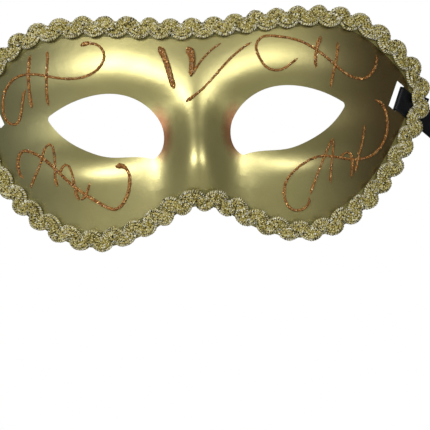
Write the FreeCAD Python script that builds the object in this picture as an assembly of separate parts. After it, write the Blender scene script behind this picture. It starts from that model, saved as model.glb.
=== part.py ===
import FreeCAD, Part

import math
import os

# A gold half mask that covers the eyes and nose bridge. Millimetres, +Z up, the front faces -Y and
# +X is to the right as the viewer sees the front. The origin is where the mask rests on the nose bridge.

Vector = FreeCAD.Vector

# Shell: a thin formed sheet that wraps round the face as part of an ellipse.
SHELL_THICKNESS = 1.0
WRAP_HALF_WIDTH = 102.0
WRAP_DEPTH = 78.0
FOREHEAD_LEAN = 0.36
FOREHEAD_START = 14.0
FOREHEAD_SOFTNESS = 6.0
CHIN_TUCK = 0.0050
CHIN_START = -22.0

# Nose: a rounded ridge that grows from the bridge to the lower edge.
NOSE_RISE = 8.5
NOSE_TOP = 16.0
NOSE_LENGTH = 34.0
NOSE_TIP = -12.0
NOSE_TUCK = 0.010
NOSE_HALF_WIDTH_TOP = 7.5
NOSE_HALF_WIDTH_GROWTH = 3.5
NOSE_WIDENING_LENGTH = 30.0
NOSE_POWER = 2.2

# Eye sockets: an oval hollow round each eye, deeper under the brow, with a cheek bulge below it.
SOCKET_X = 33.0
SOCKET_Z = -1.0
SOCKET_REACH_IN = 25.0
SOCKET_REACH_OUT = 48.0
SOCKET_REACH_UP = 17.5
SOCKET_REACH_DOWN = 10.5
SOCKET_DEPTH_LOW = 3.6
SOCKET_DEPTH_GROWTH = 2.9
SOCKET_GROWTH_START = -14.0
SOCKET_GROWTH_LENGTH = 26.0
SOCKET_SPREAD = 1.05
SOCKET_POWER = 2.8
CENTRE_SOFTNESS = 2.5
CHEEK_HEIGHT = 1.8
CHEEK_X = 39.0
CHEEK_Z = -19.0
CHEEK_SPREAD_X = 17.0
CHEEK_SPREAD_Z = 8.0

# Edges, as points of the right half from the top centre to the bottom centre.
RIM_CENTRE_LINE = [
    (0.0, 33.2), (14.0, 34.0), (28.0, 35.5), (43.0, 36.3), (56.0, 35.1), (66.0, 30.7), (74.5, 23.0),
    (80.5, 15.8), (83.1, 8.0), (81.9, -0.5), (75.6, -12.4), (67.5, -24.5), (57.5, -34.2), (47.0, -40.4),
    (38.0, -42.1), (28.5, -40.6), (18.0, -36.2), (8.0, -30.4), (0.0, -28.6),
]
EDGE_BEYOND_CENTRE_LINE = 2.8
UPPER_LID = [(55.6, 3.9), (47.2, 8.6), (40.6, 10.7), (33.0, 11.6), (25.5, 10.4), (18.5, 6.5), (12.9, -1.1)]
INNER_SIDE = [(12.9, -1.1), (12.2, -5.6), (13.2, -10.2), (16.4, -13.6)]
LOWER_LID = [(16.4, -13.6), (24.0, -12.3), (33.0, -11.9), (40.5, -9.4), (48.5, -4.6), (55.6, 3.9)]

EYE_CORNERS = [(55.6, 3.9), (16.4, -13.6)]
EYE_CORNER_RADIUS = 1.6

# Ribbon slots, one in each temple. The ribbon leaves the slot outward and down.
SLOT_CENTRE = (75.0, 6.2)
SLOT_LENGTH = 10.0
SLOT_WIDTH = 3.3
SLOT_LEAN = (0.378, 0.926)
RIBBON_LEAD = (0.760, -0.650)
RIBBON_AT = 0.7
SHORT_END_LEAD = (0.930, -0.367)

# Ribbon, braid and glue sections.
RIBBON_WIDTH = 9.0
RIBBON_THICKNESS = 0.3
RIBBON_OUT_TO = 88.6
RIBBON_REACH = 18.0
SHORT_END_LENGTH = 12.6
BRAID_WIDTH = 8.8
BRAID_THICKNESS = 2.5
GLUE_WIDTH = 5.0
GLUE_THICKNESS = 0.3
GLUE_INWARD = 0.6
GLUE_CLEAR_OF_RIBBON = 0.2
DAB_AT = 2.2
DAB_LENGTH = 5.5
DAB_WIDTH = 7.4
GAP = 0.05
BRAID_BUTT_X = -41.0

# Free ribbon tails, as points of (x, z) from the rim to the cut end. They hang in one upright plane each.
RIGHT_TAIL = [
    (89.1, -4.5), (101.5, -13.5), (109.0, -28.5), (110.5, -46.0), (106.0, -70.0), (98.0, -93.0),
    (91.0, -118.0), (88.5, -146.0), (90.5, -175.0), (94.0, -204.0), (95.0, -233.0), (92.5, -262.0),
    (91.5, -290.0), (93.5, -317.0),
]
LEFT_TAIL = [
    (-89.1, -4.5), (-101.5, -13.0), (-109.5, -28.0), (-112.0, -46.0), (-109.5, -70.0), (-103.0, -94.0),
    (-98.5, -120.0), (-98.0, -148.0), (-100.5, -177.0), (-102.0, -206.0), (-100.0, -235.0),
    (-97.0, -263.5), (-96.5, -291.0), (-98.5, -318.0),
]
TAIL_THICKNESS = 0.5
TAIL_ARC_SHARE = 0.45

# Glitter glue strokes: half width at start, middle and end, then the route on the front face.
STROKES = {
    "glitter_left_brow_curl": (1.1, 0.52, 0.5, [
        (-41.5, 29.8), (-38.0, 30.6), (-34.5, 29.2), (-32.8, 26.0), (-35.0, 21.2), (-42.5, 18.0),
        (-51.0, 18.6), (-60.0, 20.5), (-66.5, 19.6), (-71.0, 14.5), (-72.0, 8.0), (-70.5, 3.5),
        (-67.6, 2.4), (-65.0, 7.0), (-62.8, 15.0)]),
    "glitter_left_brow_bar_outer": (0.6, 0.6, 0.7, [
        (-60.5, 27.8), (-61.5, 21.0), (-61.5, 14.5), (-60.9, 8.0)]),
    "glitter_left_brow_bar_inner": (0.7, 0.52, 0.65, [
        (-54.0, 28.8), (-54.6, 20.0), (-55.0, 14.0), (-54.5, 8.5)]),
    "glitter_forehead_bar": (1.55, 1.15, 1.05, [
        (-12.4, 27.6), (-10.6, 23.5), (-9.0, 17.5), (-7.6, 12.0)]),
    "glitter_forehead_tick_down": (1.85, 1.2, 0.85, [
        (-2.2, 26.8), (-0.7, 24.0), (-0.6, 20.5), (-1.4, 16.0)]),
    "glitter_forehead_tick_up": (0.6, 0.42, 0.4, [
        (-1.2, 16.2), (2.5, 21.4), (7.0, 25.8), (10.4, 28.0)]),
    "glitter_forehead_long_stroke": (0.85, 0.5, 0.42, [
        (-3.6, 7.0), (0.5, 9.6), (7.5, 16.0), (11.5, 20.2), (16.5, 24.6), (21.6, 27.8)]),
    "glitter_right_brow_curl": (0.45, 0.52, 0.45, [
        (38.5, 21.4), (35.0, 18.9), (31.0, 17.2), (27.0, 18.2), (24.0, 22.5), (23.2, 26.5), (25.2, 29.4),
        (31.0, 29.7), (38.0, 28.2), (44.5, 24.8), (51.5, 19.0), (58.0, 13.9), (63.0, 13.1),
        (66.8, 16.4), (67.8, 21.8)]),
    "glitter_right_brow_bar_inner": (1.0, 0.6, 0.7, [
        (47.4, 29.0), (46.0, 26.0), (45.0, 22.0), (45.0, 17.5)]),
    "glitter_right_brow_bar_outer": (0.65, 0.5, 0.5, [
        (53.5, 26.8), (53.0, 22.0), (51.6, 16.5), (50.2, 10.2)]),
    "glitter_left_cheek_swirl": (1.35, 0.62, 0.5, [
        (-30.4, -15.8), (-28.0, -15.4), (-26.0, -17.4), (-25.6, -22.0), (-27.4, -27.6), (-31.0, -31.0),
        (-36.0, -29.2), (-45.5, -22.5), (-53.5, -14.6), (-61.0, -8.8), (-65.2, -7.9), (-67.0, -12.0),
        (-65.3, -18.0)]),
    "glitter_left_cheek_arch_outer": (0.5, 0.48, 0.7, [
        (-62.8, -21.9), (-60.4, -17.0), (-57.6, -10.5), (-56.2, -6.8), (-54.6, -5.8), (-53.4, -8.2),
        (-53.0, -14.0), (-52.2, -21.8)]),
    "glitter_left_cheek_arch_inner": (0.55, 0.48, 0.85, [
        (-51.0, -17.5), (-50.2, -14.8), (-48.6, -13.7), (-47.2, -15.6), (-46.0, -21.5), (-44.4, -27.2)]),
    "glitter_left_cheek_tick": (0.7, 0.5, 0.4, [
        (-43.8, -27.2), (-42.2, -25.6), (-41.0, -23.2), (-40.2, -20.6)]),
    "glitter_right_cheek_swirl": (0.7, 0.5, 0.5, [
        (66.8, 5.0), (69.4, 3.0), (70.9, -2.5), (70.0, -8.5), (65.8, -14.6), (59.0, -17.0), (51.5, -16.0),
        (44.5, -15.3), (37.0, -18.6), (32.0, -23.4), (30.8, -29.5), (33.6, -34.4), (37.6, -34.3),
        (40.0, -30.0)]),
    "glitter_right_cheek_hook": (0.45, 0.45, 0.45, [
        (40.3, -29.2), (43.0, -22.5), (46.4, -15.2), (49.6, -8.9)]),
    "glitter_right_cheek_bar_inner": (0.45, 0.42, 0.6, [
        (50.0, -8.8), (49.6, -13.5), (48.6, -19.5), (48.0, -25.3)]),
    "glitter_right_cheek_peak": (0.45, 0.48, 0.5, [
        (51.8, -16.7), (53.4, -14.9), (55.2, -14.2), (56.4, -15.9), (56.5, -19.5), (56.1, -23.8)]),
    "glitter_right_cheek_bar_outer": (0.42, 0.42, 0.55, [
        (62.0, -4.0), (61.0, -10.0), (59.2, -15.5), (57.6, -21.8)]),
}
BLOB_LENGTH = 5.0
STROKE_HEIGHT_SHARE = 0.55
STROKE_LIFT = 0.08
STROKE_STEP = 1.5
STROKE_LEAST_STEPS = 4
END_SHARE = 0.35
SHOULDER_SHARE = 0.6

# Working space for cutting: drawings lie in front of the mask and are drawn out along +Y through it.
DRAWING_Y = -60.0
DRAWING_DEPTH = 160.0
GRID_HALF_WIDTH = 96.0
GRID_LOW = -54.0
GRID_HIGH = 48.0
GRID_STEP = 3.0
RIM_STEPS = 72
RIM_SPANS = 4


def ease(share):
    """0 below share 0, 1 above share 1, and a smooth rise between them."""
    share = min(1.0, max(0.0, share))
    return share * share * (3 - 2 * share)


def nose(x, z):
    half_width = NOSE_HALF_WIDTH_TOP + NOSE_HALF_WIDTH_GROWTH * ease(-z / NOSE_WIDENING_LENGTH)
    rise = NOSE_RISE * ease((NOSE_TOP - z) / NOSE_LENGTH) - NOSE_TUCK * max(0.0, NOSE_TIP - z) ** 2
    return rise * math.exp(-(abs(x) / half_width) ** NOSE_POWER)


def socket(side, z):
    reach_x = SOCKET_REACH_IN if side < SOCKET_X else SOCKET_REACH_OUT
    reach_z = SOCKET_REACH_UP if z > SOCKET_Z else SOCKET_REACH_DOWN
    from_centre = math.hypot((side - SOCKET_X) / reach_x, (z - SOCKET_Z) / reach_z)
    growth = ease((z - SOCKET_GROWTH_START) / SOCKET_GROWTH_LENGTH)
    depth = SOCKET_DEPTH_LOW + SOCKET_DEPTH_GROWTH * growth
    return depth * math.exp(-(from_centre / SOCKET_SPREAD) ** SOCKET_POWER)


def cheek(side, z):
    across = (side - CHEEK_X) / CHEEK_SPREAD_X
    up = (z - CHEEK_Z) / CHEEK_SPREAD_Z
    return CHEEK_HEIGHT * math.exp(-across ** 2 - up ** 2)


def relief(x, z):
    """How far the front stands forward, before it is set against the nose bridge."""
    side = math.hypot(x, CENTRE_SOFTNESS)
    wrap = WRAP_DEPTH * (1 - math.sqrt(1 - (x / WRAP_HALF_WIDTH) ** 2))
    above = z - FOREHEAD_START
    forehead = FOREHEAD_LEAN * (math.hypot(above, FOREHEAD_SOFTNESS) + above) / 2
    chin = CHIN_TUCK * max(0.0, CHIN_START - z) ** 2
    return nose(x, z) - socket(side, z) + cheek(side, z) - wrap - forehead - chin


BRIDGE_RELIEF = relief(0.0, 0.0)


def front_point(x, z, offset=0.0):
    """A point on the shell's front face, or offset from it along its outward normal."""
    y = BRIDGE_RELIEF - SHELL_THICKNESS - relief(x, z)
    return Vector(x, y, z) + front_normal(x, z) * offset


def front_normal(x, z):
    small = 0.01
    slope_x = (relief(x + small, z) - relief(x - small, z)) / (2 * small)
    slope_z = (relief(x, z + small) - relief(x, z - small)) / (2 * small)
    return Vector(-slope_x, -1.0, -slope_z).normalize()


def behind(offset):
    """All the space behind the face that lies offset in front of the shell's front."""
    columns = int(2 * GRID_HALF_WIDTH / GRID_STEP) + 1
    rows = int((GRID_HIGH - GRID_LOW) / GRID_STEP) + 1
    grid = []
    for i in range(columns):
        x = -GRID_HALF_WIDTH + i * GRID_STEP
        grid.append([front_point(x, GRID_LOW + j * GRID_STEP, offset) for j in range(rows)])
    surface = Part.BSplineSurface()
    surface.interpolate(grid)
    return surface.toShape().extrude(Vector(0, DRAWING_DEPTH, 0))


def layer(low, high):
    """The space between two faces parallel to the shell's front."""
    return behind(high).cut(behind(low))


def draw(points):
    return [Vector(x, DRAWING_Y, z) for x, z in points]


def prism(wire):
    return Part.Face(wire).extrude(Vector(0, DRAWING_DEPTH, 0))


def polygon_prism(points):
    corners = draw(points)
    return prism(Part.makePolygon(corners + corners[:1]))


def curve_through(points):
    curve = Part.BSplineCurve()
    curve.interpolate(draw(points))
    return curve.toShape()


def rim_wire(beyond_centre_line):
    """A closed line beside the centre line of the braid, outward positive."""
    left = [(-x, z) for x, z in RIM_CENTRE_LINE[1:-1]][::-1]
    centre = Part.BSplineCurve()
    centre.interpolate(draw(RIM_CENTRE_LINE + left), PeriodicFlag=True)
    length = centre.length()
    points = []
    for i in range(RIM_STEPS):
        parameter = centre.parameterAtDistance(length * i / RIM_STEPS, centre.FirstParameter)
        ahead = centre.tangent(parameter)[0]
        outward = Vector(-ahead.z, 0, ahead.x)
        points.append(centre.value(parameter) + outward * beyond_centre_line)
    beside = Part.BSplineCurve()
    beside.interpolate(points, PeriodicFlag=True)
    span = (beside.LastParameter - beside.FirstParameter) / RIM_SPANS
    starts = [beside.FirstParameter + span * i for i in range(RIM_SPANS)]
    return Part.Wire([beside.toShape(start, start + span) for start in starts])


def band(width, shift=0.0):
    """A prism over the band of this width along the rim."""
    return prism(rim_wire(shift + width / 2)).cut(prism(rim_wire(shift - width / 2)))


def is_corner(edge, corners):
    """True for an edge of a prism that runs along Y at one of these corners."""
    place = edge.CenterOfMass
    close = 0.01
    along_y = edge.BoundBox.YLength > DRAWING_DEPTH / 2
    return along_y and any(math.hypot(place.x - x, place.z - z) < close for x, z in corners)


def eye_hole(side):
    edges = []
    for points in (UPPER_LID, INNER_SIDE, LOWER_LID):
        edges.append(curve_through(on_side(side, points)))
    hole = prism(Part.Wire(edges))
    sharp = [edge for edge in hole.Edges if is_corner(edge, on_side(side, EYE_CORNERS))]
    return hole.makeFillet(EYE_CORNER_RADIUS, sharp)


def strip(start, lead, across, length, width):
    """Corners of a strip that starts at a line along across and runs along lead."""
    half = width / 2
    near_low = (start[0] - across[0] * half, start[1] - across[1] * half)
    near_high = (start[0] + across[0] * half, start[1] + across[1] * half)
    far_high = (near_high[0] + lead[0] * length, near_high[1] + lead[1] * length)
    far_low = (near_low[0] + lead[0] * length, near_low[1] + lead[1] * length)
    return [near_low, near_high, far_high, far_low]


def on_side(side, points):
    return [(side * x, z) for x, z in points]


def slot_edge(share):
    """The middle of a line across the slot: share -1 is its inner edge and 1 its outer edge."""
    half = share * SLOT_WIDTH / 2
    return (SLOT_CENTRE[0] + RIBBON_LEAD[0] * half, SLOT_CENTRE[1] + RIBBON_LEAD[1] * half)


def slot(side):
    corners = strip(slot_edge(-1), RIBBON_LEAD, SLOT_LEAN, SLOT_WIDTH, SLOT_LENGTH)
    return polygon_prism(on_side(side, corners))


def mask_shell():
    shell = layer(-SHELL_THICKNESS, 0.0).common(prism(rim_wire(EDGE_BEYOND_CENTRE_LINE)))
    for side in (-1, 1):
        shell = shell.cut(eye_hole(side)).cut(slot(side))
    return shell


def ribbon_crossing(side):
    """The stretch of ribbon inside the slot, against its outer edge."""
    start = slot_edge(RIBBON_AT)
    corners = strip(start, RIBBON_LEAD, SLOT_LEAN, RIBBON_THICKNESS, RIBBON_WIDTH)
    reach = GAP + RIBBON_THICKNESS
    back = -SHELL_THICKNESS - GLUE_THICKNESS - reach
    return layer(back, reach).common(polygon_prism(on_side(side, corners)))


def ribbon_front(side):
    start = slot_edge(RIBBON_AT)
    corners = strip(start, RIBBON_LEAD, SLOT_LEAN, RIBBON_REACH, RIBBON_WIDTH)
    piece = layer(GAP, GAP + RIBBON_THICKNESS).common(polygon_prism(on_side(side, corners)))
    corner = Vector(-RIBBON_OUT_TO, DRAWING_Y, GRID_LOW)
    limit = Part.makeBox(2 * RIBBON_OUT_TO, DRAWING_DEPTH, GRID_HIGH - GRID_LOW, corner)
    return piece.common(limit)


def ribbon_short_end(side):
    start = slot_edge(RIBBON_AT)
    corners = strip(start, SHORT_END_LEAD, SLOT_LEAN, SHORT_END_LENGTH, RIBBON_WIDTH)
    top = -SHELL_THICKNESS - GLUE_THICKNESS - GAP
    return layer(top - RIBBON_THICKNESS, top).common(polygon_prism(on_side(side, corners)))


def ribbon_loop(side):
    loop = ribbon_front(side).fuse(ribbon_crossing(side))
    return loop.fuse(ribbon_short_end(side)).removeSplitter()


def ribbon_glue(side):
    """A flat dab of glue between the shell's back and the ribbon's short end."""
    start = slot_edge(DAB_AT)
    corners = strip(start, SHORT_END_LEAD, SLOT_LEAN, DAB_LENGTH, DAB_WIDTH)
    low = -SHELL_THICKNESS - GLUE_THICKNESS
    return layer(low, -SHELL_THICKNESS - GAP / 2).common(polygon_prism(on_side(side, corners)))


def gimp_braid():
    """The braid round the rim, with a narrow butt joint where its two ends meet."""
    low = 2 * GAP + RIBBON_THICKNESS
    ring = layer(low, low + BRAID_THICKNESS).common(band(BRAID_WIDTH))
    joint = Part.makeBox(GAP, DRAWING_DEPTH, -GRID_LOW, Vector(BRAID_BUTT_X, DRAWING_Y, GRID_LOW))
    return ring.cut(joint)


def braid_glue():
    """The glue line under the braid, broken where each ribbon passes under it."""
    ring = layer(GAP / 2, GLUE_THICKNESS).common(band(GLUE_WIDTH, -GLUE_INWARD))
    for side in (-1, 1):
        start = slot_edge(RIBBON_AT)
        clear_width = RIBBON_WIDTH + 2 * GLUE_CLEAR_OF_RIBBON
        corners = strip(start, RIBBON_LEAD, SLOT_LEAN, RIBBON_REACH, clear_width)
        ring = ring.cut(polygon_prism(on_side(side, corners)))
    return ring


def turn_radius(before, corner, after):
    """The arc at a corner of a ribbon's route, as large as its two runs allow."""
    first = corner - before
    second = after - corner
    half_turn = first.getAngle(second) / 2
    return TAIL_ARC_SHARE * min(first.Length, second.Length) / math.tan(half_turn)


def tail_path(points):
    """Straight runs joined by tangent arcs."""
    edges = []
    start = points[0]
    for before, corner, after in zip(points, points[1:], points[2:]):
        toward = (before - corner).normalize()
        away = (after - corner).normalize()
        half_turn = (corner - before).getAngle(after - corner) / 2
        radius = turn_radius(before, corner, after)
        reach = radius * math.tan(half_turn)
        arc_start = corner + toward * reach
        arc_end = corner + away * reach
        inward = (toward + away).normalize()
        arc_middle = corner + inward * (radius / math.cos(half_turn) - radius)
        edges.append(Part.LineSegment(start, arc_start).toShape())
        edges.append(Part.Arc(arc_start, arc_middle, arc_end).toShape())
        start = arc_end
    edges.append(Part.LineSegment(start, points[-1]).toShape())
    return Part.Wire(edges)


def ribbon_tail(name, route):
    """The free ribbon, flat side out, in an upright plane level with the rim it leaves."""
    first_x, first_z = route[0]
    y = front_point(first_x, first_z).y
    points = [Vector(x, y, z) for x, z in route]
    radii = [turn_radius(*three) for three in zip(points, points[1:], points[2:])]
    path = tail_path(points)
    ahead = (points[1] - points[0]).normalize()
    out = Vector(ahead.z, 0, -ahead.x) * (TAIL_THICKNESS / 2)
    wide = Vector(0, RIBBON_WIDTH / 2, 0)
    first = points[0]
    corners = [first - out - wide, first + out - wide, first + out + wide, first - out + wide]
    section = Part.makePolygon(corners + corners[:1])
    tail = path.makePipeShell([section], True, False)
    expected = path.Length * RIBBON_WIDTH * TAIL_THICKNESS
    print(name, "length", round(path.Length, 1), "volume over section times length", tail.Volume / expected)
    print("  radii", [round(r) for r in radii])
    return tail


def stroke_half_width(widths, distance, length):
    """Half width along a stroke, with a blob at each end where the bottle rested."""
    start, middle, end = widths
    blob = min(BLOB_LENGTH, length / 2)
    if distance < blob:
        return start + (middle - start) * distance / blob
    if distance > length - blob:
        return end + (middle - end) * (length - distance) / blob
    return middle


def stroke_section(curve, length, distance, widths):
    """The bead's outline across the stroke: two feet and two shoulders, smaller at its rounded ends."""
    reach = widths[1]
    from_end = min(distance, length - distance) / reach
    end_share = min(1.0, END_SHARE + (1 - END_SHARE) * from_end)
    half_width = stroke_half_width(widths, distance, length) * end_share
    height = 2 * half_width * STROKE_HEIGHT_SHARE
    parameter = curve.parameterAtDistance(distance, curve.FirstParameter)
    place = curve.value(parameter)
    ahead = curve.tangent(parameter)[0]
    normal = front_normal(place.x, place.z)
    step = 0.05
    along = front_point(place.x + ahead.x * step, place.z + ahead.z * step) - front_point(place.x, place.z)
    across = along.cross(normal).normalize()
    base = front_point(place.x, place.z, STROKE_LIFT)
    shoulder = SHOULDER_SHARE * half_width
    corners = [
        base - across * half_width,
        base - across * shoulder + normal * height,
        base + across * shoulder + normal * height,
        base + across * half_width,
    ]
    return Part.makePolygon(corners + corners[:1])


def glitter_stroke(start_width, middle_width, end_width, route):
    curve = Part.BSplineCurve()
    curve.interpolate([Vector(x, 0, z) for x, z in route])
    length = curve.length()
    steps = max(STROKE_LEAST_STEPS, round(length / STROKE_STEP))
    widths = (start_width, middle_width, end_width)
    sections = [stroke_section(curve, length, length * i / steps, widths) for i in range(steps + 1)]
    return Part.makeLoft(sections, True, True)


def save(name, shape):
    solids = shape.Solids
    state = "ok" if shape.isValid() and solids else "NOT VALID"
    print(name, len(solids), "solid", round(shape.Volume, 1), "mm3", state)
    body = solids[0] if len(solids) == 1 else Part.makeCompound(solids)
    body.exportStep(os.path.join("parts", name + ".step"))


def main():
    os.makedirs("parts", exist_ok=True)
    save("mask_shell", mask_shell())
    save("gimp_braid", gimp_braid())
    save("braid_glue", braid_glue())
    for side, word in ((-1, "left"), (1, "right")):
        save(f"ribbon_{word}_loop", ribbon_loop(side))
        save(f"ribbon_{word}_glue", ribbon_glue(side))
    save("ribbon_left_tail", ribbon_tail("ribbon_left_tail", LEFT_TAIL))
    save("ribbon_right_tail", ribbon_tail("ribbon_right_tail", RIGHT_TAIL))
    for name, stroke in STROKES.items():
        save(name, glitter_stroke(*stroke))


main()
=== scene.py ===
import math
import random

import bpy
import numpy as np
from mathutils import Matrix, Vector


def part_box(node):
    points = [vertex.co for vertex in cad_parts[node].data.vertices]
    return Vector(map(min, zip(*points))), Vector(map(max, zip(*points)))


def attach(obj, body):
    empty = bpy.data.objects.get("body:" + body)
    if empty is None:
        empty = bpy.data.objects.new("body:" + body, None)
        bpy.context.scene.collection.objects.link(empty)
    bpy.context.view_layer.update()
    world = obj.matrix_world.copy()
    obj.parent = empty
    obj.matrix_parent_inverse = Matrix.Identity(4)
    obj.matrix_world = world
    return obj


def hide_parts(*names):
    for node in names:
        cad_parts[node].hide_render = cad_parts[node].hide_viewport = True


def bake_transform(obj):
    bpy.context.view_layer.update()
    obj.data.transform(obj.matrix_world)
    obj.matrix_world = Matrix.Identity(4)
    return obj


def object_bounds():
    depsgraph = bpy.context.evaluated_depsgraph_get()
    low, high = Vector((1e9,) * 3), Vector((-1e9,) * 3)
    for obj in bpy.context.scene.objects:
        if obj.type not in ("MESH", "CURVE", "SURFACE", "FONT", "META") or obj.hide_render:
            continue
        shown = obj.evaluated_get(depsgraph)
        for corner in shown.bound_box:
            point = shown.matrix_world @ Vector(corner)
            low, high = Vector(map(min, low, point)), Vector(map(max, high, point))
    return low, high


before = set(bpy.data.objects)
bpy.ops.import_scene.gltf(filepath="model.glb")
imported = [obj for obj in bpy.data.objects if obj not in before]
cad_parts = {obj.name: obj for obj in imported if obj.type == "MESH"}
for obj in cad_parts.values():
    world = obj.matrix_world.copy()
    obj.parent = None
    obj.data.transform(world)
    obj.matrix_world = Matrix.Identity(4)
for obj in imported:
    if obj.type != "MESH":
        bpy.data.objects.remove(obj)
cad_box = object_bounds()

# The looks of a gold half mask. The shell's shape and the routes below are the CAD model's own, in
# millimetres; every Blender object is in metres. +Z up, the front faces -Y.
MM = 0.001

# Shell surface.
SHELL_THICKNESS = 1.0
WRAP_HALF_WIDTH = 102.0
WRAP_DEPTH = 78.0
FOREHEAD_LEAN = 0.36
FOREHEAD_START = 14.0
FOREHEAD_SOFTNESS = 6.0
CHIN_TUCK = 0.0050
CHIN_START = -22.0
NOSE_RISE = 8.5
NOSE_TOP = 16.0
NOSE_LENGTH = 34.0
NOSE_TIP = -12.0
NOSE_TUCK = 0.010
NOSE_HALF_WIDTH_TOP = 7.5
NOSE_HALF_WIDTH_GROWTH = 3.5
NOSE_WIDENING_LENGTH = 30.0
NOSE_POWER = 2.2
SOCKET_X = 33.0
SOCKET_Z = -1.0
SOCKET_REACH_IN = 25.0
SOCKET_REACH_OUT = 48.0
SOCKET_REACH_UP = 17.5
SOCKET_REACH_DOWN = 10.5
SOCKET_DEPTH_LOW = 3.6
SOCKET_DEPTH_GROWTH = 2.9
SOCKET_GROWTH_START = -14.0
SOCKET_GROWTH_LENGTH = 26.0
SOCKET_SPREAD = 1.05
SOCKET_POWER = 2.8
CENTRE_SOFTNESS = 2.5
CHEEK_HEIGHT = 1.8
CHEEK_X = 39.0
CHEEK_Z = -19.0
CHEEK_SPREAD_X = 17.0
CHEEK_SPREAD_Z = 8.0

# Centre line of the braid, right half from the top centre to the bottom centre.
RIM_CENTRE_LINE = [
    (0.0, 33.2), (14.0, 34.0), (28.0, 35.5), (43.0, 36.3), (56.0, 35.1), (66.0, 30.7), (74.5, 23.0),
    (80.5, 15.8), (83.1, 8.0), (81.9, -0.5), (75.6, -12.4), (67.5, -24.5), (57.5, -34.2), (47.0, -40.4),
    (38.0, -42.1), (28.5, -40.6), (18.0, -36.2), (8.0, -30.4), (0.0, -28.6),
]

# Slot and ribbon.
SLOT_CENTRE = (75.0, 6.2)
SLOT_WIDTH = 3.3
SLOT_LEAN = (0.378, 0.926)
RIBBON_LEAD = (0.760, -0.650)
SHORT_END_LEAD = (0.930, -0.367)
SHORT_END_LENGTH = 12.6
RIBBON_WIDTH = 9.0
RIBBON_OUT_TO = 88.9
RIBBON_THICKNESS = 0.28

# Free ribbon tails: the CAD routes, as (x, z).
RIGHT_TAIL = [
    (89.1, -4.5), (101.5, -13.5), (109.0, -28.5), (110.5, -46.0), (106.0, -70.0), (98.0, -93.0),
    (91.0, -118.0), (88.5, -146.0), (90.5, -175.0), (94.0, -204.0), (95.0, -233.0), (92.5, -262.0),
    (91.5, -290.0), (93.5, -317.0),
]
LEFT_TAIL = [
    (-89.1, -4.5), (-101.5, -13.0), (-109.5, -28.0), (-112.0, -46.0), (-109.5, -70.0), (-103.0, -94.0),
    (-98.5, -120.0), (-98.0, -148.0), (-100.5, -177.0), (-102.0, -206.0), (-100.0, -235.0),
    (-97.0, -263.5), (-96.5, -291.0), (-98.5, -318.0),
]
# How far each tail sways from its upright plane at each route point, towards the back.
SWAY = (0.0, 1.0, 2.5, 3.0, 1.0, -2.0, -3.5, -2.0, 1.0, 3.0, 3.0, 1.0, -1.0, -1.5)
# How far each tail has turned about its own length, in degrees at even steps down it.
RIGHT_TURNS = (0, 0, 10, 40, 60, 30, 0, -25, -10, 10)
LEFT_TURNS = (0, 0, -10, -35, -50, -20, 10, 25, 10, -10)


# ---------------------------------------------------------------- shell surface

def ease(share):
    """0 below share 0, 1 above share 1, and a smooth rise between them."""
    share = np.clip(share, 0.0, 1.0)
    return share * share * (3 - 2 * share)


def relief(x, z):
    """How far the front stands forward, before it is set against the nose bridge."""
    side = np.hypot(x, CENTRE_SOFTNESS)
    wrap = WRAP_DEPTH * (1 - np.sqrt(1 - (x / WRAP_HALF_WIDTH) ** 2))
    above = z - FOREHEAD_START
    forehead = FOREHEAD_LEAN * (np.hypot(above, FOREHEAD_SOFTNESS) + above) / 2
    chin = CHIN_TUCK * np.maximum(0.0, CHIN_START - z) ** 2
    half_width = NOSE_HALF_WIDTH_TOP + NOSE_HALF_WIDTH_GROWTH * ease(-z / NOSE_WIDENING_LENGTH)
    rise = NOSE_RISE * ease((NOSE_TOP - z) / NOSE_LENGTH) - NOSE_TUCK * np.maximum(0.0, NOSE_TIP - z) ** 2
    nose = rise * np.exp(-(np.abs(x) / half_width) ** NOSE_POWER)
    reach_x = np.where(side < SOCKET_X, SOCKET_REACH_IN, SOCKET_REACH_OUT)
    reach_z = np.where(z > SOCKET_Z, SOCKET_REACH_UP, SOCKET_REACH_DOWN)
    from_centre = np.hypot((side - SOCKET_X) / reach_x, (z - SOCKET_Z) / reach_z)
    depth = SOCKET_DEPTH_LOW + SOCKET_DEPTH_GROWTH * ease((z - SOCKET_GROWTH_START) / SOCKET_GROWTH_LENGTH)
    socket = depth * np.exp(-(from_centre / SOCKET_SPREAD) ** SOCKET_POWER)
    cheek = CHEEK_HEIGHT * np.exp(
        -((side - CHEEK_X) / CHEEK_SPREAD_X) ** 2 - ((z - CHEEK_Z) / CHEEK_SPREAD_Z) ** 2)
    return nose - socket + cheek - wrap - forehead - chin


def front_normal(x, z):
    step = 0.01
    slope_x = (relief(x + step, z) - relief(x - step, z)) / (2 * step)
    slope_z = (relief(x, z + step) - relief(x, z - step)) / (2 * step)
    normal = np.stack([-slope_x, -np.ones_like(slope_x), -slope_z], axis=-1)
    return normal / np.linalg.norm(normal, axis=-1, keepdims=True)


def front(x, z, offset=0.0):
    """Points in metres over the shell's front at x, z, lifted by offset along the outward normal."""
    x = np.asarray(x, float)
    z = np.asarray(z, float)
    centre = float(relief(np.array(0.0), np.array(0.0)))
    y = centre - SHELL_THICKNESS - relief(x, z)
    place = np.stack([x, y, z], axis=-1)
    return (place + front_normal(x, z) * np.asarray(offset)[..., None]) * MM


# ---------------------------------------------------------------- small helpers

def link(name, mesh):
    piece = bpy.data.objects.new(name, mesh)
    bpy.context.scene.collection.objects.link(piece)
    return piece


def mesh_of(name, points, faces):
    mesh = bpy.data.meshes.new(name)
    mesh.from_pydata([tuple(p) for p in points], [], faces)
    mesh.update()
    mesh.shade_smooth()
    return mesh


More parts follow.
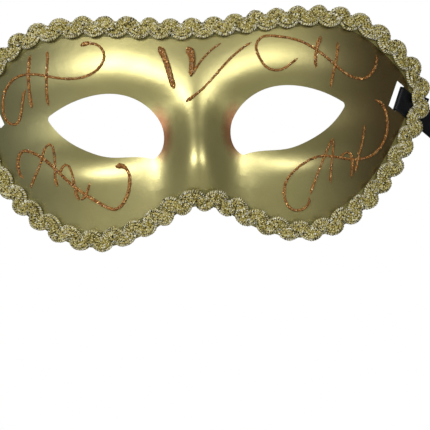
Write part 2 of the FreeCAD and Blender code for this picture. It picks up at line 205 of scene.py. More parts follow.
def grid_faces(rows, columns, wrap_rows=False, wrap_columns=False):
    """Quads over a grid of points stored row by row."""
    faces = []
    for i in range(rows if wrap_rows else rows - 1):
        for j in range(columns if wrap_columns else columns - 1):
            a = i * columns + j
            b = i * columns + (j + 1) % columns
            c = ((i + 1) % rows) * columns + (j + 1) % columns
            d = ((i + 1) % rows) * columns + j
            faces.append((a, b, c, d))
    return faces


def unit(vectors):
    return vectors / np.maximum(np.linalg.norm(vectors, axis=-1, keepdims=True), 1e-12)


def tangents(points, closed=False):
    if closed:
        return unit(np.roll(points, -1, axis=0) - np.roll(points, 1, axis=0))
    return unit(np.gradient(points, axis=0))


def resampled(points, step):
    """The same line with points about step apart."""
    lengths = np.linalg.norm(np.diff(points, axis=0), axis=1)
    travelled = np.concatenate([[0.0], np.cumsum(lengths)])
    count = max(2, int(round(travelled[-1] / step)) + 1)
    wanted = np.linspace(0.0, travelled[-1], count)
    return np.stack([np.interp(wanted, travelled, points[:, k]) for k in range(points.shape[1])], axis=1)


# ---------------------------------------------------------------- materials

class Nodes:
    """A short way to write a procedural material."""

    def __init__(self, name):
        self.material = bpy.data.materials.new(name)
        self.material.use_nodes = True
        self.tree = self.material.node_tree
        self.shader = self.tree.nodes["Principled BSDF"]

    def add(self, kind, **settings):
        node = self.tree.nodes.new(kind)
        for key, value in settings.items():
            setattr(node, key, value)
        return node

    def feed(self, socket, value):
        if isinstance(value, bpy.types.NodeSocket):
            self.tree.links.new(value, socket)
        else:
            socket.default_value = value

    def place(self, scale=1.0, kind="Object"):
        coordinates = self.add("ShaderNodeTexCoord").outputs[kind]
        mapping = self.add("ShaderNodeMapping")
        mapping.inputs["Scale"].default_value = scale if hasattr(scale, "__len__") else (scale,) * 3
        self.feed(mapping.inputs["Vector"], coordinates)
        return mapping.outputs["Vector"]

    def noise(self, scale, detail=2.0, roughness=0.5, vector=None):
        node = self.add("ShaderNodeTexNoise")
        node.inputs["Scale"].default_value = scale
        node.inputs["Detail"].default_value = detail
        node.inputs["Roughness"].default_value = roughness
        self.feed(node.inputs["Vector"], vector or self.place())
        return node.outputs["Fac"]

    def cells(self, scale, output="Color", vector=None, randomness=1.0):
        node = self.add("ShaderNodeTexVoronoi")
        node.inputs["Scale"].default_value = scale
        node.inputs["Randomness"].default_value = randomness
        self.feed(node.inputs["Vector"], vector or self.place())
        return node.outputs[output]

    def tangle(self, scale, reach):
        """A small random shift, for warping a pattern's coordinates."""
        node = self.add("ShaderNodeTexNoise")
        node.inputs["Scale"].default_value = scale
        self.feed(node.inputs["Vector"], self.place())
        shift = self.add("ShaderNodeVectorMath", operation="MULTIPLY_ADD")
        self.feed(shift.inputs[0], node.outputs["Color"])
        shift.inputs[1].default_value = (2 * reach,) * 3
        shift.inputs[2].default_value = (-reach,) * 3
        return shift.outputs[0]

    def ramp(self, factor, stops, mode="LINEAR"):
        node = self.add("ShaderNodeValToRGB")
        node.color_ramp.interpolation = mode
        elements = node.color_ramp.elements
        while len(elements) < len(stops):
            elements.new(0.5)
        for element, (position, colour) in zip(elements, stops):
            element.position = position
            element.color = (*colour, 1.0) if hasattr(colour, "__len__") else (colour, colour, colour, 1.0)
        self.feed(node.inputs["Fac"], factor)
        return node.outputs["Color"]

    def mix(self, factor, first, second, kind="MIX"):
        node = self.add("ShaderNodeMix", data_type="RGBA", blend_type=kind)
        self.feed(node.inputs[0], factor)
        for socket, value in ((node.inputs[6], first), (node.inputs[7], second)):
            self.feed(socket, (*value, 1.0) if isinstance(value, tuple) else value)
        return node.outputs[2]

    def math(self, operation, *values, clamp=False):
        node = self.add("ShaderNodeMath", operation=operation, use_clamp=clamp)
        for socket, value in zip(node.inputs, values):
            self.feed(socket, value)
        return node.outputs[0]

    def spread(self, value, low, high, to_low=0.0, to_high=1.0):
        node = self.add("ShaderNodeMapRange", interpolation_type="SMOOTHSTEP")
        for socket, number in zip(node.inputs, (value, low, high, to_low, to_high)):
            self.feed(socket, number)
        return node.outputs[0]

    def bump(self, height, strength, distance, below=None):
        node = self.add("ShaderNodeBump")
        node.inputs["Strength"].default_value = strength
        node.inputs["Distance"].default_value = distance
        self.feed(node.inputs["Height"], height)
        if below is not None:
            self.feed(node.inputs["Normal"], below)
        return node.outputs["Normal"]

    def finish(self, **sockets):
        for name, value in sockets.items():
            socket = self.shader.inputs[name.replace("_", " ").title().replace("Ior", "IOR")]
            if isinstance(value, tuple):
                value = (*value, 1.0)
            self.feed(socket, value)
        return self.material


# Places on the painted front, in metres.
# Painted shade: between this place and the next, the gold darkens to brown over the right temple.
RIGHT_SHADE_FROM = 0.030
RIGHT_SHADE_TO = 0.072
# Painted reflection: between this place and the next, the gold dulls to grey over the left temple.
LEFT_REFLECTION_FROM = -0.034
LEFT_REFLECTION_TO = -0.076
MIST_X = 0.0138
MIST_Z = -0.0042
MIST_REACH_X = 0.0048
MIST_REACH_Z = 0.0098

GOLD_DARK = (0.51, 0.455, 0.165)
GOLD_LIGHT = (0.61, 0.55, 0.225)
# Painted light: a dark brown painted shade for the right temple, then a dull grey painted reflection for
# the left temple.
GOLD_PAINTED_SHADE = (0.155, 0.100, 0.026)
GOLD_PAINTED_REFLECTION = (0.30, 0.300, 0.150)
GOLD_FLECK = (0.82, 0.78, 0.52)
COPPER_MIST = (0.36, 0.105, 0.038)
PLASTIC_DARK = (0.60, 0.58, 0.50)
PLASTIC_LIGHT = (0.70, 0.68, 0.61)


def gold_paint():
    """Satin gold sprayed on the front and edges, copper mist beside the nose, bare plastic behind, with
    painted shade on the right temple and a painted grey reflection on the left.
    """
    n = Nodes("gold_paint")
    place = n.add("ShaderNodeSeparateXYZ")
    n.feed(place.inputs[0], n.place())
    side = n.math("ABSOLUTE", place.outputs["X"])
    height = place.outputs["Z"]

    drift = n.noise(38.0, 3.0, 0.55)
    gold = n.ramp(drift, [(0.3, GOLD_DARK), (0.7, GOLD_LIGHT)])
    # Painted shade darkens the right temple to brown, and a painted reflection dulls the left temple to
    # grey.
    painted_shade = n.spread(place.outputs["X"], RIGHT_SHADE_FROM, RIGHT_SHADE_TO, 0.0, 0.95)
    gold = n.mix(painted_shade, gold, GOLD_PAINTED_SHADE)
    painted_reflection = n.spread(place.outputs["X"], LEFT_REFLECTION_FROM, LEFT_REFLECTION_TO, 0.0, 0.70)
    gold = n.mix(painted_reflection, gold, GOLD_PAINTED_REFLECTION)
    fleck = n.cells(2600.0, "Distance")
    gold = n.mix(n.spread(fleck, 0.10, 0.02, 0.0, 0.5), gold, GOLD_FLECK)

    across = n.math("DIVIDE", n.math("SUBTRACT", side, MIST_X), MIST_REACH_X)
    up = n.math("DIVIDE", n.math("ADD", height, -MIST_Z), MIST_REACH_Z)
    squared = n.math("ADD", n.math("MULTIPLY", across, across), n.math("MULTIPLY", up, up))
    misty = n.math("ADD", squared, n.math("MULTIPLY", n.noise(520.0, 3.0, 0.7), 0.6))
    copper = n.spread(misty, 1.9, 0.3, 0.0, 0.88)
    painted = n.mix(copper, gold, COPPER_MIST)

    normal = n.add("ShaderNodeSeparateXYZ")
    n.feed(normal.inputs[0], n.add("ShaderNodeTexCoord").outputs["Normal"])
    facing = n.math("ADD", normal.outputs["Y"], n.math("MULTIPLY", n.noise(900.0), 0.1))
    rear = n.spread(facing, 0.10, 0.22)
    plastic = n.ramp(n.noise(120.0, 4.0, 0.6), [(0.3, PLASTIC_DARK), (0.7, PLASTIC_LIGHT)])
    colour = n.mix(rear, painted, plastic)

    grain = n.noise(1500.0, 2.0, 0.6)
    rough = n.math("ADD", n.math("MULTIPLY", n.noise(90.0, 3.0, 0.6), 0.10), 0.33)
    rough = n.math("ADD", rough, n.math("MULTIPLY", rear, 0.20))
    metal = n.spread(rear, 0.2, 0.8, 0.82, 0.0)
    peel = n.bump(n.noise(260.0, 2.0, 0.5), 0.10, 0.0004)
    return n.finish(base_color=colour, metallic=metal, roughness=rough, coat_weight=0.85,
                    coat_roughness=0.36, normal=n.bump(grain, 0.16, 0.00008, peel))


def braid_yarn(name, stops, roughness):
    """Metal foil wound on a core, broken into bright and dark flecks; the near-white flecks are painted
    glints off the foil. stops are shares and colours.
    """
    n = Nodes(name)
    warped = n.add("ShaderNodeVectorMath", operation="ADD")
    n.feed(warped.inputs[0], n.place())
    n.feed(warped.inputs[1], n.tangle(900.0, 0.0005))
    # Painted glints: the near-white stops colour random cells as if they caught the light.
    colour = n.ramp(n.cells(1750.0, vector=warped.outputs[0]), stops, "CONSTANT")
    slow = n.noise(160.0, 3.0, 0.6)
    colour = n.mix(n.spread(slow, 0.40, 0.70, 0.0, 0.30), colour, stops[1][1])
    rough = n.math("ADD", n.math("MULTIPLY", n.noise(2200.0), 0.25), roughness)
    wound = n.bump(n.cells(2100.0, "Distance"), 0.9, 0.00030)
    return n.finish(base_color=colour, metallic=0.20, roughness=rough, normal=wound)


def glitter_glue():
    n = Nodes("copper_glitter_glue")
    colour = n.ramp(n.cells(2300.0), [
        (0.0, (0.11, 0.036, 0.010)), (0.24, (0.33, 0.125, 0.028)), (0.58, (0.56, 0.255, 0.060)),
        (0.86, (0.95, 0.62, 0.26))], "CONSTANT")
    rough = n.math("ADD", n.math("MULTIPLY", n.noise(2500.0), 0.3), 0.28)
    return n.finish(base_color=colour, metallic=0.40, roughness=rough, coat_weight=0.15,
                    normal=n.bump(n.cells(3000.0, "Distance"), 0.9, 0.0003))


def glitter_flake():
    n = Nodes("copper_glitter_flake")
    tone = n.noise(1800.0, 1.0)
    colour = n.ramp(tone, [
        (0.35, (0.62, 0.28, 0.07)), (0.55, (0.88, 0.50, 0.17)), (0.7, (1.0, 0.84, 0.56))])
    return n.finish(base_color=colour, metallic=0.6, roughness=0.30)


# The satin's weave and woven edge, in metres.
RIB_PITCH = 0.00030
THREAD_PITCH = 0.00022
EDGE_FROM = 0.0039
EDGE_TO = 0.0042


def satin():
    """Black satin: fine ribs across the ribbon, a faint bluish sheen and a woven edge."""
    n = Nodes("black_satin")
    place = n.place(1.0, "UV")
    parts = n.add("ShaderNodeSeparateXYZ")
    n.feed(parts.inputs[0], place)
    ribs = n.math("SINE", n.math("MULTIPLY", parts.outputs["Y"], 2 * math.pi / RIB_PITCH))
    threads = n.math("SINE", n.math("MULTIPLY", parts.outputs["X"], 2 * math.pi / THREAD_PITCH))
    weave = n.math("ADD", n.math("MULTIPLY", ribs, 0.6), n.math("MULTIPLY", threads, 0.4))
    edge = n.spread(n.math("ABSOLUTE", parts.outputs["X"]), EDGE_FROM, EDGE_TO)
    tone = n.noise(500.0, 2.0, 0.6)
    colour = n.ramp(tone, [(0.3, (0.0020, 0.0022, 0.0032)), (0.7, (0.0048, 0.0055, 0.0080))])
    colour = n.mix(edge, colour, (0.006, 0.0065, 0.0085))
    rough = n.math("ADD", n.math("MULTIPLY", tone, 0.12), 0.34)
    rough = n.math("ADD", n.math("MULTIPLY", edge, 0.20), rough)
    return n.finish(base_color=colour, roughness=rough, specular_ior_level=0.30, sheen_weight=0.04,
                    sheen_tint=(0.55, 0.68, 1.0), normal=n.bump(weave, 0.35, 0.00004))


def dried_glue(name, dark, light):
    n = Nodes(name)
    colour = n.ramp(n.noise(300.0, 3.0, 0.6), [(0.3, dark), (0.7, light)])
    rough = n.math("ADD", n.math("MULTIPLY", n.noise(700.0), 0.2), 0.18)
    return n.finish(base_color=colour, roughness=rough, subsurface_weight=0.2,
                    normal=n.bump(n.noise(600.0, 3.0, 0.6), 0.5, 0.0003))


def use(piece, material):
    piece.data.materials.clear()
    piece.data.materials.append(material)


# ---------------------------------------------------------------- braid

# Lengths in millimetres; the rest are counts and shares.
RIM_STEPS = 24
RIM_STEP = 0.5
PITCHES = 52
PITCH_RANGE = (0.90, 1.10)
REACH_RANGE = (0.93, 1.05)
LEAST_REACH = 0.25
BUNDLE_OFFSETS = (-1.95, -0.98, 0.0, 0.98, 1.95)
CREST_SHIFT = 0.55
CORD_RADIUS = 0.56
CORD_SIDES = 9
CORD_STEP = 0.32
CORD_LOBES = 3
LOBE_DEPTH = 0.22
OVER_AND_UNDER = 0.20
OVER_PHASE = 1.7
WANDER = 0.14
FUZZ = 0.035
UNEVEN_RADIUS = 0.08
UNEVEN_EVERY = 4
TWIST_LENGTH = 1.7
ARC_STEPS = 14
LOW_LIFT = 0.80
DOME_HEIGHT = 1.75
DOME_CENTRE = 1.5
DOME_RADIUS = 3.9
THREAD_RADIUS = 0.18
THREAD_SEAT = 0.92
THREAD_PITCH_ON_CORD = 0.85
THREAD_STEPS = 8
THREAD_SIDES = 4
BASE_HALF_WIDTH = 1.8
BASE_STEP = 0.8
BASE_STATIONS = 7
BASE_CREST = 1.5
BASE_FALL = 0.5
BASE_UNDERSIDE = 0.42


def rim_line():
    """The braid's centre line, evenly spaced in millimetres, its outward side, and its whole length."""
    left = [(-x, z) for x, z in RIM_CENTRE_LINE[1:-1]][::-1]
    knots = np.array(RIM_CENTRE_LINE + left)
    count = len(knots)
    share = np.linspace(0, 1, RIM_STEPS, endpoint=False)[:, None]
    stretches = []
    for i in range(count):
        p0, p1, p2, p3 = (knots[(i + k) % count] for k in (-1, 0, 1, 2))
        bend = 2 * p0 - 5 * p1 + 4 * p2 - p3
        turn = -p0 + 3 * p1 - 3 * p2 + p3
        stretches.append(0.5 * (2 * p1 + (p2 - p0) * share + bend * share ** 2 + turn * share ** 3))
    line = np.concatenate(stretches)
    line = resampled(np.concatenate([line, line[:1]]), RIM_STEP)[:-1]
    ahead = tangents(line, closed=True)
    outward = np.stack([-ahead[:, 1], ahead[:, 0]], axis=1)
    length = float(np.linalg.norm(np.roll(line, -1, axis=0) - line, axis=1).sum())
    return line, outward, length


RIM, RIM_OUT, RIM_LENGTH = rim_line()


def beside_rim(along, across):
    """x, z at a distance along the rim and across it, outward positive."""
    count = len(RIM)
    place = (along / RIM_LENGTH * count) % count
    low = np.floor(place).astype(int) % count
    high = (low + 1) % count
    share = (place - np.floor(place))[:, None]
    centre = RIM[low] * (1 - share) + RIM[high] * share
    outward = unit(RIM_OUT[low] * (1 - share) + RIM_OUT[high] * share)
    spot = centre + outward * across[:, None]
    return spot[:, 0], spot[:, 1]


def uneven_pitches(seed):
    """Where each half wave's middle lies along the rim, and how far each reaches, both a little uneven."""
    draw = random.Random(seed)
    widths = np.array([draw.uniform(*PITCH_RANGE) for _ in range(2 * PITCHES)])
    places = np.concatenate([[0.0], np.cumsum(widths)])
    places = places / places[-1] * RIM_LENGTH
    reaches = np.array([draw.uniform(*REACH_RANGE) for _ in range(2 * PITCHES)])
    return places, np.append(reaches, reaches[0])


WAVE_PLACES, WAVE_REACHES = uneven_pitches(7)


def wave(offset):
    """One cord of the bundle: along and across, as arcs about points near the centre line, in turn."""
    half = RIM_LENGTH / (2 * PITCHES)
    radius = math.hypot(half / 2, CREST_SHIFT)
    end = math.atan2(half / 2, CREST_SHIFT)
    angles = np.linspace(-end, end, ARC_STEPS, endpoint=False)
    along = []
    across = []
    for k in range(2 * PITCHES):
        up = 1 if k % 2 == 0 else -1
        reach = max(LEAST_REACH, radius + up * offset)
        along.append(k * half + reach * np.sin(angles))
        across.append(up * (reach * np.cos(angles) - CREST_SHIFT))
    along = np.concatenate(along)
    across = np.concatenate(across)
    middles = np.repeat(np.arange(2 * PITCHES), ARC_STEPS)
    from_dome = np.hypot(along - middles * half, np.abs(across) - DOME_CENTRE)
    dome = np.clip(1 - (from_dome / DOME_RADIUS) ** 2, 0.0, 1.0)
    steps = np.arange(2 * PITCHES + 1) * half
    spot = np.interp(along % RIM_LENGTH, steps, WAVE_PLACES)
    return spot, across * np.interp(along % RIM_LENGTH, steps, WAVE_REACHES), dome


def closed_tube(name, centres, normals, radii, step):
    """A closed tube with a lobed section that turns as it goes."""
    ahead = tangents(centres, closed=True)
    sideways = unit(np.cross(ahead, normals))
    upward = np.cross(sideways, ahead)
    travelled = np.arange(len(centres)) * step
    turns = max(1, round(travelled[-1] / (TWIST_LENGTH * MM)))
    turn = travelled / (travelled[-1] + step) * turns * 2 * math.pi
    around = np.arange(CORD_SIDES) * 2 * math.pi / CORD_SIDES
    ridge = np.abs(np.cos(CORD_LOBES / 2 * (around[None, :] - turn[:, None])))
    lobe = 1 - LOBE_DEPTH + LOBE_DEPTH * ridge
    size = (radii * MM)[:, None] * lobe
    rings = (
        centres[:, None, :]
        + sideways[:, None, :] * (size * np.cos(around))[..., None]
        + upward[:, None, :] * (size * np.sin(around))[..., None]
    )
    faces = grid_faces(len(centres), CORD_SIDES, wrap_rows=True, wrap_columns=True)
    return link(name, mesh_of(name, rings.reshape(-1, 3), faces))


def wound_thread(name, centres, normals, radii, step):
    """One bright foil thread wound round a cord, as a closed helix."""
    length = len(centres) * step
    turns = round(length / (THREAD_PITCH_ON_CORD * MM))
    count = turns * THREAD_STEPS
    place = np.arange(count) / count * len(centres)
    low = np.floor(place).astype(int)
    high = (low + 1) % len(centres)
    share = (place - low)[:, None]
    middle = centres[low] * (1 - share) + centres[high] * share
    upward = unit(normals[low] * (1 - share) + normals[high] * share)
    size = radii[low] * (1 - share[:, 0]) + radii[high] * share[:, 0]
    ahead = tangents(middle, closed=True)
    sideways = unit(np.cross(ahead, upward))
    upward = np.cross(sideways, ahead)
    angle = np.arange(count) / THREAD_STEPS * 2 * math.pi
    out = sideways * np.cos(angle)[:, None] + upward * np.sin(angle)[:, None]
    line = middle + out * (size * MM)[:, None]
    along = tangents(line, closed=True)
    across = unit(np.cross(along, out))
    around = np.arange(THREAD_SIDES) * 2 * math.pi / THREAD_SIDES
    rings = (
        line[:, None, :]
        + out[:, None, :] * (THREAD_RADIUS * MM * np.cos(around))[None, :, None]
        + across[:, None, :] * (THREAD_RADIUS * MM * np.sin(around))[None, :, None]
    )
    faces = grid_faces(count, THREAD_SIDES, wrap_rows=True, wrap_columns=True)
    return link(name, mesh_of(name, rings.reshape(-1, 3), faces))


def braid_cord(number, offset, core, thread):
    """One wrapped cord of the braid, and the foil thread wound on it."""
    draw = np.random.default_rng(100 + number)
    along, across, dome = wave(offset)
    x, z = beside_rim(along, across)
    count = len(x)
    knots = draw.normal(0.0, 1.0, 4 * PITCHES)
    wander = np.interp(np.linspace(0, 4 * PITCHES, count, endpoint=False), np.arange(4 * PITCHES), knots,
                       period=4 * PITCHES)
    phase = np.arange(count) * 2 * math.pi * PITCHES / count + OVER_PHASE * number
    over = OVER_AND_UNDER * np.sin(phase)
    centres = front(x, z, LOW_LIFT + DOME_HEIGHT * dome + over + WANDER * wander)
    looped = np.concatenate([centres, centres[:1]])
    centres = resampled(looped, CORD_STEP * MM)[:-1]
    centres = centres + draw.normal(0.0, FUZZ, centres.shape) * MM
    normals = front_normal(centres[:, 0] / MM, centres[:, 2] / MM)
    wobble = draw.normal(0.0, 1.0, len(centres) // UNEVEN_EVERY)
    knots_at = np.arange(len(wobble)) * UNEVEN_EVERY
    unevenness = np.interp(np.arange(len(centres)), knots_at, wobble)
    radii = CORD_RADIUS * (1 + UNEVEN_RADIUS * unevenness)
    step = CORD_STEP * MM
    cord = closed_tube(f"braid_cord_{number}", centres, normals, radii, step)
    wound = wound_thread(f"braid_thread_{number}", centres, normals, radii * THREAD_SEAT, step)
    for piece, material in ((cord, core), (wound, thread)):
        use(piece, material)
        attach(piece, "root")
    return cord


def braid_base(material):
    """The woven strip under the cords, which closes the gaps between them."""
    stations = np.arange(0.0, RIM_LENGTH, BASE_STEP)
    across = np.linspace(-BASE_HALF_WIDTH, BASE_HALF_WIDTH, BASE_STATIONS)
    top = []
    for spread in across:
        x, z = beside_rim(stations, np.full_like(stations, spread))
        lift = BASE_CREST - BASE_FALL * (spread / BASE_HALF_WIDTH) ** 2
        top.append(front(x, z, np.full_like(x, lift)))
    low = []
    for spread in across[::-1]:
        x, z = beside_rim(stations, np.full_like(stations, spread))
        low.append(front(x, z, np.full_like(x, BASE_UNDERSIDE)))
    rings = np.stack(top + low, axis=1)
    faces = grid_faces(len(stations), rings.shape[1], wrap_rows=True, wrap_columns=True)
    piece = link("braid_base", mesh_of("braid_base", rings.reshape(-1, 3), faces))
    use(piece, material)
    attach(piece, "root")
    return piece


# ---------------------------------------------------------------- ribbons

RIBBON_STATIONS = 11
MIDDLE = RIBBON_STATIONS // 2

# Lifts of the fixed end off the shell's front: behind the shell, through the slot, and in front.
SLOT_SHARE = 0.72
SHORT_END_LIFT = -1.52
SLOT_BACK_LIFT = -1.45
SLOT_FRONT_LIFT = 0.10
FRONT_LIFT = 0.23

# The free tail: how it leaves the fixed end, how it lies, and the slant its end is cut to.
LEAD_OUT = 3.0
JOIN_ROWS = 7
TAIL_STEP = 1.5
LEVEL_LENGTH = 30.0
CUP_HEIGHT = 0.35
CUP_WAVES = 23.0
CUT_SLANT = 2.8
CUT_ROWS = 4


def slot_edge(share):
    """A point between the slot's centre, share 0, and its outer edge, share 1."""
    half = share * SLOT_WIDTH / 2
    return np.array([SLOT_CENTRE[0] + RIBBON_LEAD[0] * half, SLOT_CENTRE[1] + RIBBON_LEAD[1] * half])


def smoothed(points, rounds):
    """The same line with its corners cut, and both ends kept."""
    for _ in range(rounds):
        inner = []
        for a, b in zip(points, points[1:]):
            inner += [a * 0.75 + b * 0.25, a * 0.25 + b * 0.75]
        points = [points[0]] + inner + [points[-1]]
    return points


def strip_mesh(name, rows, across, along):
    """A strip of cloth from rows of points, with a UV in metres: across in X and along in Y."""
    count, width = rows.shape[0], rows.shape[1]
    mesh = mesh_of(name, rows.reshape(-1, 3), grid_faces(count, width))
    uv = mesh.uv_layers.new(name="cloth")
    for loop in mesh.loops:
        row, column = divmod(loop.vertex_index, width)
        uv.data[loop.index].uv = (across[column], along[row])
    return mesh


def thicken(piece, thickness):
    solid = piece.modifiers.new("thickness", "SOLIDIFY")
    solid.thickness = thickness
    solid.offset = 0.0


def ribbon_front(side, word, material):
    """The ribbon's fixed end: glued behind, through the slot, and under the braid to the rim.

    Gives its last row of points and the way the ribbon is heading there.
    """
    start = slot_edge(SLOT_SHARE)
    front_length = (RIBBON_OUT_TO - start[0]) / RIBBON_LEAD[0]
    line = []
    for share in np.linspace(1.0, 0.06, 8):
        spot = start + np.array(SHORT_END_LEAD) * SHORT_END_LENGTH * share
        line.append(np.array([spot[0], spot[1], SHORT_END_LIFT]))
    line.append(np.array([start[0], start[1], SLOT_BACK_LIFT]))
    line.append(np.array([start[0], start[1], SLOT_FRONT_LIFT]))
    for share in np.linspace(0.05, 1.0, 14):
        spot = start + np.array(RIBBON_LEAD) * front_length * share
        line.append(np.array([spot[0], spot[1], FRONT_LIFT]))
    line = np.array(smoothed(line, 2))
    across = np.linspace(-RIBBON_WIDTH / 2, RIBBON_WIDTH / 2, RIBBON_STATIONS)
    columns = []
    for spread in across:
        x = line[:, 0] + SLOT_LEAN[0] * spread
        z = line[:, 1] + SLOT_LEAN[1] * spread
        columns.append(front(side * x, z, line[:, 2]))
    rows = np.stack(columns, axis=1)
    steps = np.linalg.norm(np.diff(rows[:, MIDDLE], axis=0), axis=1)
    along = np.concatenate([[0.0], np.cumsum(steps)])
    name = f"ribbon_{word}_front"
    piece = link(name, strip_mesh(name, rows, across * MM, along))
    thicken(piece, RIBBON_THICKNESS * MM)
    use(piece, material)
    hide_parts(f"ribbon_{word}_loop")
    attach(piece, "root")
    return rows[-1], unit(rows[-1, MIDDLE] - rows[-2, MIDDLE])


def spline_points(points):
    """Points along the NURBS spline that has these control points."""
    curve = bpy.data.curves.new("route", "CURVE")
    curve.dimensions = "3D"
    curve.resolution_u = 16
    spline = curve.splines.new("NURBS")
    spline.points.add(len(points) - 1)
    for point, place in zip(spline.points, points):
        point.co = (*place, 1.0)
    spline.order_u = 3
    spline.use_endpoint_u = True
    route = link("route", curve)
    bpy.context.view_layer.update()
    mesh = bpy.data.meshes.new_from_object(route)
    line = np.array([v.co[:] for v in mesh.vertices])
    bpy.data.objects.remove(route)
    bpy.data.meshes.remove(mesh)
    return line


def ribbon_tail(word, route, leaving, material, turns):
    """The free ribbon: it carries on from the fixed end's last row, then hangs with a slow turn."""
    last_row, heading = leaving
    begin = last_row[MIDDLE]
    lean = unit(last_row[-1] - last_row[0])
    low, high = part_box(f"ribbon_{word}_tail")
    plane = (low.y + high.y) / 2
    hanging = [(x * MM, plane + sway * MM, z * MM) for (x, z), sway in zip(route[1:], SWAY[1:])]
    control = [tuple(begin), tuple(begin + heading * LEAD_OUT * MM)] + hanging
    line = resampled(spline_points(control), TAIL_STEP * MM)
    ahead = tangents(line)
    travelled = np.linspace(0.0, 1.0, len(line))
    length = float(np.linalg.norm(np.diff(line, axis=0), axis=1).sum())
    level = ease(travelled * length / (LEVEL_LENGTH * MM))[:, None]
    wide = unit(lean * (1 - level) + np.array([0.0, 1.0, 0.0]) * level)
    wide = unit(wide - ahead * np.sum(wide * ahead, axis=1, keepdims=True))
    face = np.cross(ahead, wide)
    angle = np.radians(np.interp(travelled, np.linspace(0, 1, len(turns)), turns))
    wide = wide * np.cos(angle)[:, None] + face * np.sin(angle)[:, None]
    face = np.cross(ahead, wide)
    across = np.linspace(-RIBBON_WIDTH / 2, RIBBON_WIDTH / 2, RIBBON_STATIONS) * MM
    cup = CUP_HEIGHT * MM * np.sin(travelled * CUP_WAVES)
    rows = []
    for i, place in enumerate(line):
        bow = cup[i] * (1 - (across / across[-1]) ** 2)
        rows.append(place + wide[i] * across[:, None] + face[i] * bow[:, None])
    rows = np.array(rows)
    joining = 1 - ease(np.arange(len(rows)) / JOIN_ROWS)
    rows = rows + joining[:, None, None] * (last_row - rows[0])
    slant = across / across[-1] * (CUT_SLANT * MM)
    for k in range(CUT_ROWS):
        rows[-1 - k] += ahead[-1] * (slant * (CUT_ROWS - k) / CUT_ROWS)[:, None]
    along = travelled * length
    name = f"ribbon_{word}_free"
    piece = link(name, strip_mesh(name, rows, across, along))
    thicken(piece, RIBBON_THICKNESS * MM)
    use(piece, material)
    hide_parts(f"ribbon_{word}_tail")
    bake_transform(piece)
    return piece


# ---------------------------------------------------------------- glitter

# How the beads are softened, with lengths in metres.
STROKE_VOXEL = 0.00018
STROKE_GRAIN = 0.00034
STROKE_SMOOTHING = 0.6
STROKE_ROUNDS = 2

# The flakes on them, with lengths in millimetres.
FLAKE_SPACING = 0.46
FLAKE_SIZES = (0.09, 0.18)
FLAKE_LIFT = 0.05
FLAKE_TILT = 0.45
FLAKE_SIDES = 6
FACING_FORWARD = -0.05


def soften_stroke(node):
    """Rounds the bead and makes it uneven, as squeezed glue dries."""
    remesh = node.modifiers.new("round", "REMESH")
    remesh.mode = "VOXEL"
    remesh.voxel_size = STROKE_VOXEL
    remesh.use_smooth_shade = True
    smooth = node.modifiers.new("smooth", "SMOOTH")
    smooth.factor = STROKE_SMOOTHING
    smooth.iterations = STROKE_ROUNDS
    grain = node.modifiers.new("grain", "DISPLACE")
    grain.texture = GRAIN
    grain.texture_coords = "GLOBAL"
    grain.strength = STROKE_GRAIN
    grain.mid_level = 0.5


def flakes(nodes, material):
    """Glitter flakes lying on the strokes at odd angles, as small hexagons."""
    draw = np.random.default_rng(5)
    points = []
    faces = []
    graph = bpy.context.evaluated_depsgraph_get()
    for node in nodes:
        shaped = node.evaluated_get(graph)
        mesh = shaped.to_mesh()
        mesh.calc_loop_triangles()
        corners = np.array([[mesh.vertices[i].co[:] for i in t.vertices] for t in mesh.loop_triangles])
        shaped.to_mesh_clear()
        cross = np.cross(corners[:, 1] - corners[:, 0], corners[:, 2] - corners[:, 0])
        area = np.linalg.norm(cross, axis=1) / 2
        outward = unit(cross)
        area = area * (outward[:, 1] < FACING_FORWARD)
        count = int(area.sum() / (FLAKE_SPACING * MM) ** 2)
        picked = draw.choice(len(area), size=count, p=area / area.sum())
        for t in picked:
            a, b = draw.random(2)
            if a + b > 1:
                a, b = 1 - a, 1 - b
            one_side = corners[t, 1] - corners[t, 0]
            other_side = corners[t, 2] - corners[t, 0]
            centre = corners[t, 0] + one_side * a + other_side * b
            normal = unit(outward[t] + draw.normal(0, FLAKE_TILT, 3))
            first = unit(np.cross(normal, draw.normal(0, 1, 3)))
            second = np.cross(normal, first)
            size = draw.uniform(*FLAKE_SIZES) * MM
            base = len(points)
            for k in range(FLAKE_SIDES):
                angle = k * math.pi / (FLAKE_SIDES / 2)
                rim = first * math.cos(angle) + second * math.sin(angle)
                points.append(centre + outward[t] * FLAKE_LIFT * MM + rim * size)
            faces.append(tuple(range(base, base + FLAKE_SIDES)))
    piece = link("glitter_flakes", mesh_of("glitter_flakes", points, faces))
    piece.data.shade_flat()
    use(piece, material)
    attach(piece, "root")
    return piece


# ---------------------------------------------------------------- studio

# In metres and degrees.
CAMERA_PLACE = (0.00505, -1.2, -0.03496)
CAMERA_ROLL = -2.8
CAMERA_LENS = 275.2
CAMERA_SENSOR = 36.0
FLOOR_DROP = 0.012
FLOOR_RADIUS = 0.9
FLOOR_SIDES = 96
WORLD_FILL = (0.105, 0.105, 0.100, 1.0)
WORLD_BACKDROP = (1.0, 1.0, 1.0, 1.0)
# Name, place, size and power in watts.
LIGHTS = (
    ("left_softbox", (-0.55, -1.02, 0.36), (0.46, 0.42), 7.4),
    ("right_softbox", (0.50, -1.04, 0.34), (0.34, 0.42), 3.9),
    ("rear_softbox", (0.3, 1.4, 0.9), (1.0, 1.0), 14.0),
)


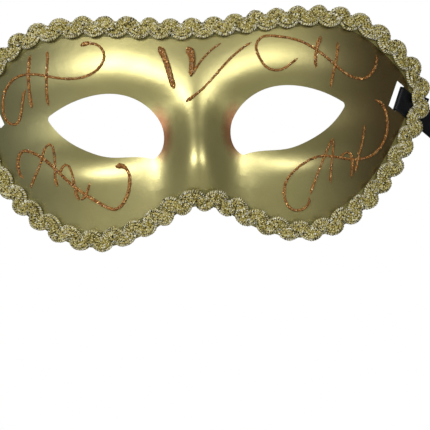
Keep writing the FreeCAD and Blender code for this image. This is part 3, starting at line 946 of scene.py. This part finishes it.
def studio():
    """The camera, the soft lights and the pale floor."""
    camera = bpy.data.cameras.new("camera")
    camera.lens = CAMERA_LENS
    camera.sensor_width = CAMERA_SENSOR
    camera.clip_end = 30.0
    eye = link("camera", camera)
    place = Matrix.Translation(CAMERA_PLACE)
    level = Matrix.Rotation(math.radians(90), 4, "X")
    eye.matrix_world = place @ level @ Matrix.Rotation(math.radians(CAMERA_ROLL), 4, "Z")
    bpy.context.scene.camera = eye

    world = bpy.data.worlds.new("studio")
    bpy.context.scene.world = world
    world.use_nodes = True
    tree = world.node_tree
    backdrop = tree.nodes["Background"]
    backdrop.inputs["Color"].default_value = WORLD_BACKDROP
    fill = tree.nodes.new("ShaderNodeBackground")
    fill.inputs["Color"].default_value = WORLD_FILL
    rays = tree.nodes.new("ShaderNodeLightPath")
    mixed = tree.nodes.new("ShaderNodeMixShader")
    tree.links.new(rays.outputs["Is Camera Ray"], mixed.inputs[0])
    tree.links.new(fill.outputs[0], mixed.inputs[1])
    tree.links.new(backdrop.outputs[0], mixed.inputs[2])
    tree.links.new(mixed.outputs[0], tree.nodes["World Output"].inputs[0])

    for name, place, size, power in LIGHTS:
        lamp = bpy.data.lights.new(name, "AREA")
        lamp.shape = "RECTANGLE"
        lamp.size, lamp.size_y = size
        lamp.energy = power
        box = link(name, lamp)
        box.location = place
        box.rotation_euler = (-Vector(place)).to_track_quat("-Z", "Y").to_euler()

    floor_level = cad_box[0].z - FLOOR_DROP
    corners = []
    for k in range(FLOOR_SIDES):
        angle = math.radians(360 / FLOOR_SIDES * k)
        corners.append((FLOOR_RADIUS * math.cos(angle), FLOOR_RADIUS * math.sin(angle), floor_level))
    floor = link("floor", mesh_of("floor", corners, [tuple(range(FLOOR_SIDES))]))
    n = Nodes("pale_floor")
    tone = n.ramp(n.noise(30.0, 3.0), [(0.3, (0.42, 0.42, 0.41)), (0.7, (0.46, 0.46, 0.45))])
    use(floor, n.finish(base_color=tone, roughness=0.7))
    bpy.context.scene.view_settings.view_transform = "Standard"


# ---------------------------------------------------------------- the object

studio()

SATIN = satin()
leaving_right = ribbon_front(1, "right", SATIN)
leaving_left = ribbon_front(-1, "left", SATIN)
ribbon_tail("right", RIGHT_TAIL, leaving_right, SATIN, RIGHT_TURNS)
ribbon_tail("left", LEFT_TAIL, leaving_left, SATIN, LEFT_TURNS)

use(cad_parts["mask_shell"], gold_paint())

# The near-white last stop of each yarn is a painted glint off the foil.
CORE = braid_yarn("gold_core_yarn", [
    (0.0, (0.035, 0.024, 0.004)), (0.30, (0.40, 0.32, 0.070)), (0.62, (0.72, 0.63, 0.24)),
    (0.84, (0.97, 0.95, 0.78))], 0.28)
GOLD_FOIL = braid_yarn("gold_foil_thread", [
    (0.0, (0.11, 0.080, 0.012)), (0.25, (0.62, 0.53, 0.15)), (0.55, (0.92, 0.86, 0.50)),
    (0.76, (1.0, 0.99, 0.90))], 0.20)
SILVER_FOIL = braid_yarn("silver_foil_thread", [
    (0.0, (0.12, 0.10, 0.04)), (0.20, (0.68, 0.64, 0.36)), (0.45, (0.93, 0.92, 0.76)),
    (0.68, (1.0, 1.0, 0.97))], 0.18)
for number, offset in enumerate(BUNDLE_OFFSETS, start=1):
    outer = number in (1, len(BUNDLE_OFFSETS))
    braid_cord(number, offset, CORE, SILVER_FOIL if outer else GOLD_FOIL)
braid_base(CORE)
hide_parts("gimp_braid")

GRAIN = bpy.data.textures.new("glue_grain", "CLOUDS")
GRAIN.noise_scale = 0.0006
GRAIN.noise_depth = 2
GLITTER = glitter_glue()
strokes = [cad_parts[name] for name in sorted(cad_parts) if name.startswith("glitter_")]
for stroke in strokes:
    soften_stroke(stroke)
    use(stroke, GLITTER)
flakes(strokes, glitter_flake())

BACK_GLUE = dried_glue("dried_glue", (0.62, 0.56, 0.42), (0.78, 0.74, 0.62))
# The glue bead under the braid is real, but its dark brown colour is painted shadow along the braid's
# edges.
RIM_GLUE_PAINTED_SHADOW = dried_glue("braid_glue_painted_shadow", (0.20, 0.165, 0.045), (0.33, 0.285, 0.095))
use(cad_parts["braid_glue"], RIM_GLUE_PAINTED_SHADOW)
for name in ("ribbon_left_glue", "ribbon_right_glue"):
    use(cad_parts[name], BACK_GLUE)
